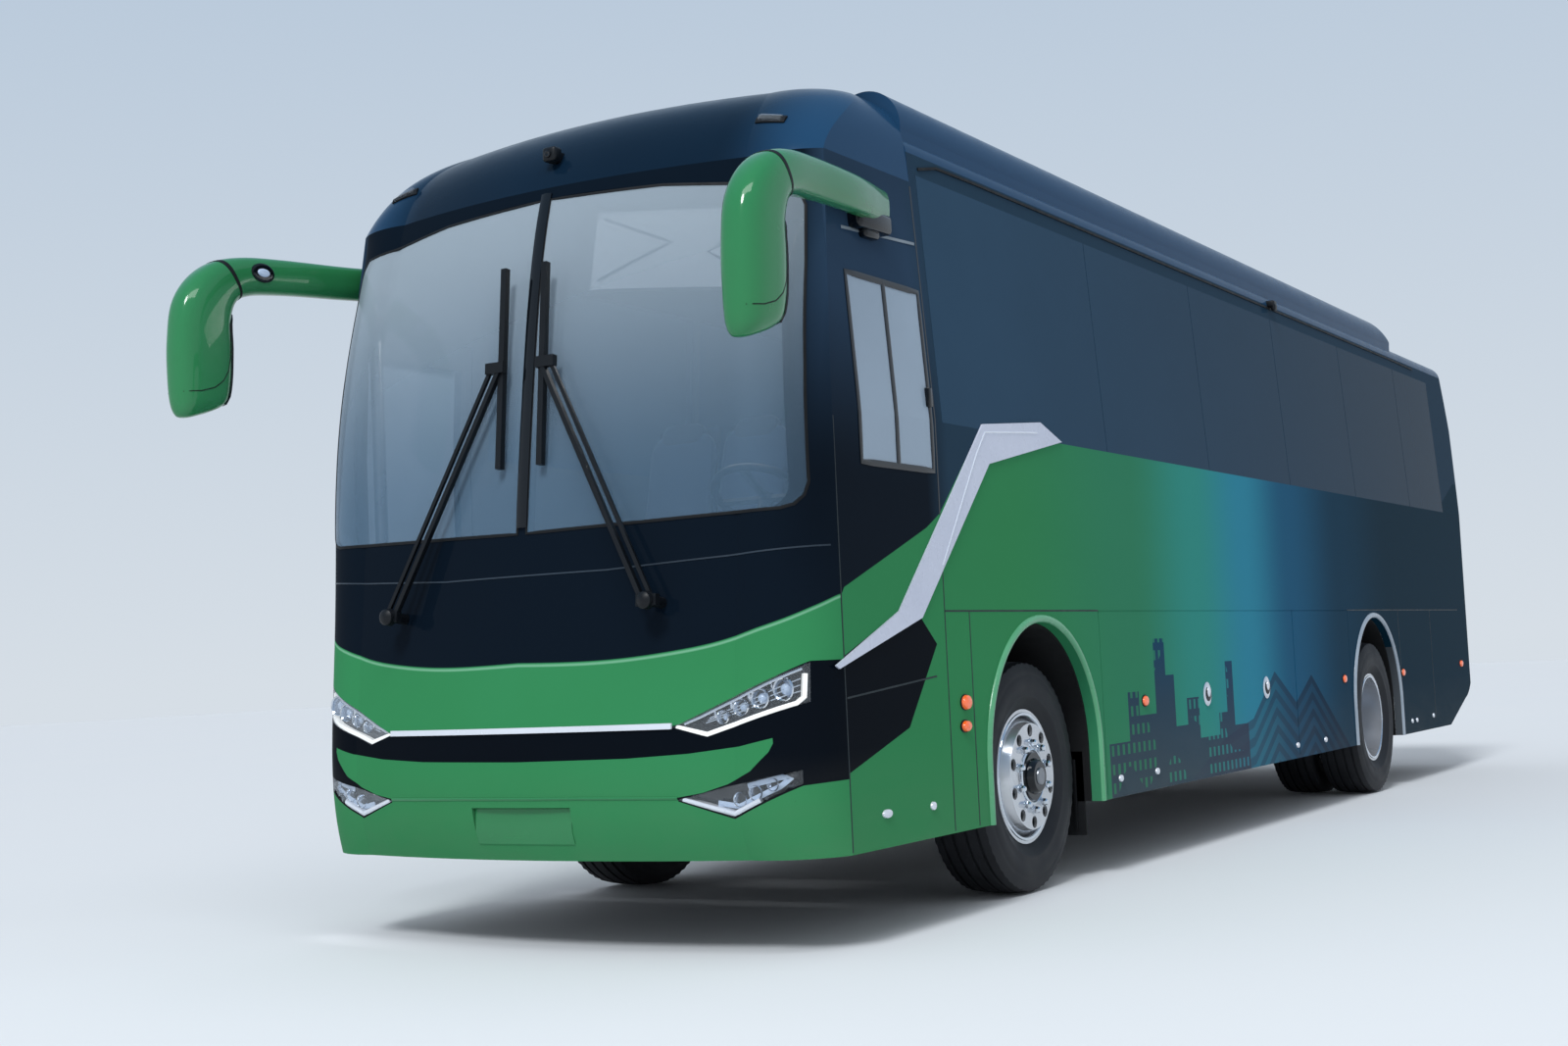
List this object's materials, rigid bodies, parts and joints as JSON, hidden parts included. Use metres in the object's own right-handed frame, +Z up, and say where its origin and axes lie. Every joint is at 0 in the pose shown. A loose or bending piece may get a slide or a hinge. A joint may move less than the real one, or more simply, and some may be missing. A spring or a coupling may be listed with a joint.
{
  "type": "electric intercity coach",
  "caption": "High-floor battery-electric coach with an outward-swinging front door, side luggage flaps, a rear motor lid, hanging mirrors and steered front wheels.",
  "frame": {"origin": "middle of the bounding box's footprint, on the ground", "axes": "+Z up, -Y to the front, +X to the driver's (left) side"},
  "size_m": [2.8794, 11.43, 3.5193],
  "materials": {
    "body_paint": "gloss two-stage paint",
    "dark_paint": "gloss dark paint",
    "window_glass": "tinted",
    "lamp_lens": "clear lens",
    "tail_lens": "red lens",
    "tyre_rubber": "moulded",
    "wheel_alloy": "polished",
    "bright_trim": "satin",
    "cast_iron": "painted black",
    "frame_steel": "chassis black",
    "rubber": "plain",
    "seat_cloth": "woven",
    "floor_plastic": "textured",
    "dark_plastic": "moulded",
    "steel_part": "plain",
    "battery_case": "powder coat"
  },
  "bodies": {
    "coach": {"front_mask": "dark_paint", "front_bumper": "body_paint", "windscreen": "window_glass", "headlamps": "lamp_lens", "fog_lamps": "lamp_lens", "roof_front_cap": "dark_paint", "side_glass": "window_glass", "skirt_panels_left": "body_paint", "skirt_panels_right": "body_paint", "chrome_bar": "bright_trim", "side_wall_left": "body_paint", "side_wall_right": "body_paint", "cab_side_left": "body_paint", "driver_window": "window_glass", "cab_side_right": "body_paint", "rear_wall": "body_paint", "rear_window": "window_glass", "tail_lamps": "tail_lens", "roof_shell": "dark_paint", "roof_fairing": "dark_paint", "side_trims": "bright_trim", "front_axle": "cast_iron", "rear_axle": "cast_iron", "air_springs": "rubber", "drive_motor_block": "cast_iron", "chassis_rails": "frame_steel", "body_frames": "frame_steel", "bay_ladder": "frame_steel", "cabin_floors": "floor_plastic", "entry_steps": "floor_plastic", "luggage_bay": "frame_steel", "battery_block": "battery_case", "arch_liners": "dark_plastic", "passenger_seats": "seat_cloth", "driver_seat": "seat_cloth", "dashboard": "dark_plastic", "steering_wheel": "dark_plastic", "mirrors": "body_paint", "wipers": "dark_plastic"},
    "knuckle_left_body": {"knuckle_left": "cast_iron"},
    "knuckle_right_body": {"knuckle_right": "cast_iron"},
    "tie_rod_body": {"tie_rod": "steel_part"},
    "front_wheel_left": {"tyre_front_left": "tyre_rubber", "rim_front_left": "wheel_alloy"},
    "front_wheel_right": {"tyre_front_right": "tyre_rubber", "rim_front_right": "wheel_alloy"},
    "rear_wheels_left": {"tyre_rear_left": "tyre_rubber", "rim_rear_left": "wheel_alloy"},
    "rear_wheels_right": {"tyre_rear_right": "tyre_rubber", "rim_rear_right": "wheel_alloy"},
    "flap_left_front": {"luggage_flap_left_front": "body_paint"},
    "flap_right_front": {"luggage_flap_right_front": "body_paint"},
    "flap_left_rear": {"luggage_flap_left_rear": "body_paint"},
    "flap_right_rear": {"luggage_flap_right_rear": "body_paint"},
    "rear_lid": {"motor_bay_lid": "body_paint"},
    "door_arm_body": {"door_arm": "steel_part"},
    "entry_door": {"door_panel": "body_paint", "door_glass": "window_glass"}
  },
  "joints": [
    {"name": "steer_left", "type": "hinge", "parent": "coach", "child": "knuckle_left_body", "pos_m": [0.9, -3.05, 0.522], "axis": [0, 0, 1], "range_deg": [-40, 40]},
    {"name": "steer_right", "type": "hinge", "parent": "coach", "child": "knuckle_right_body", "pos_m": [-0.9, -3.05, 0.522], "axis": [0, 0, 1], "range_deg": [-40, 40]},
    {"name": "tie_rod_pivot", "type": "hinge", "parent": "knuckle_left_body", "child": "tie_rod_body", "pos_m": [0.9, -2.86, 0.407], "axis": [0, 0, 1], "range_deg": [-40, 40]},
    {"name": "front_wheel_left_spin", "type": "hinge", "parent": "knuckle_left_body", "child": "front_wheel_left", "pos_m": [1.016, -3.05, 0.522], "axis": [1, 0, 0], "continuous": true},
    {"name": "front_wheel_right_spin", "type": "hinge", "parent": "knuckle_right_body", "child": "front_wheel_right", "pos_m": [-1.016, -3.05, 0.522], "axis": [1, 0, 0], "continuous": true},
    {"name": "rear_wheels_left_spin", "type": "hinge", "parent": "coach", "child": "rear_wheels_left", "pos_m": [0.906, 2.69, 0.522], "axis": [1, 0, 0], "continuous": true},
    {"name": "rear_wheels_right_spin", "type": "hinge", "parent": "coach", "child": "rear_wheels_right", "pos_m": [-0.906, 2.69, 0.522], "axis": [1, 0, 0], "continuous": true},
    {"name": "flap_left_front_hinge", "type": "hinge", "parent": "coach", "child": "flap_left_front", "pos_m": [1.247, -0.8, 1.2607], "axis": [0, -1, 0], "range_deg": [0, 85]},
    {"name": "flap_right_front_hinge", "type": "hinge", "parent": "coach", "child": "flap_right_front", "pos_m": [-1.247, -0.8, 1.2607], "axis": [0, 1, 0], "range_deg": [0, 85]},
    {"name": "flap_left_rear_hinge", "type": "hinge", "parent": "coach", "child": "flap_left_rear", "pos_m": [1.247, 1.39, 1.2607], "axis": [0, -1, 0], "range_deg": [0, 85]},
    {"name": "flap_right_rear_hinge", "type": "hinge", "parent": "coach", "child": "flap_right_rear", "pos_m": [-1.247, 1.39, 1.2607], "axis": [0, 1, 0], "range_deg": [0, 85]},
    {"name": "rear_lid_hinge", "type": "hinge", "parent": "coach", "child": "rear_lid", "pos_m": [0, 5.712, 1.4167], "axis": [1, 0, 0], "range_deg": [0, 80]},
    {"name": "door_swing", "type": "hinge", "parent": "coach", "child": "door_arm_body", "pos_m": [-1.12, -4.76, 1.5], "axis": [0, 0, 1], "range_deg": [0, 100]},
    {"name": "door_follow", "type": "hinge", "parent": "door_arm_body", "child": "entry_door", "pos_m": [-1.12, -4.16, 1.5], "axis": [0, 0, 1], "range_deg": [-100, 0]}
  ],
  "couplings": [
    {"joint": "steer_right", "follows": "steer_left", "ratio": 1},
    {"joint": "tie_rod_pivot", "follows": "steer_left", "ratio": -1},
    {"joint": "door_follow", "follows": "door_swing", "ratio": -1}
  ]
}
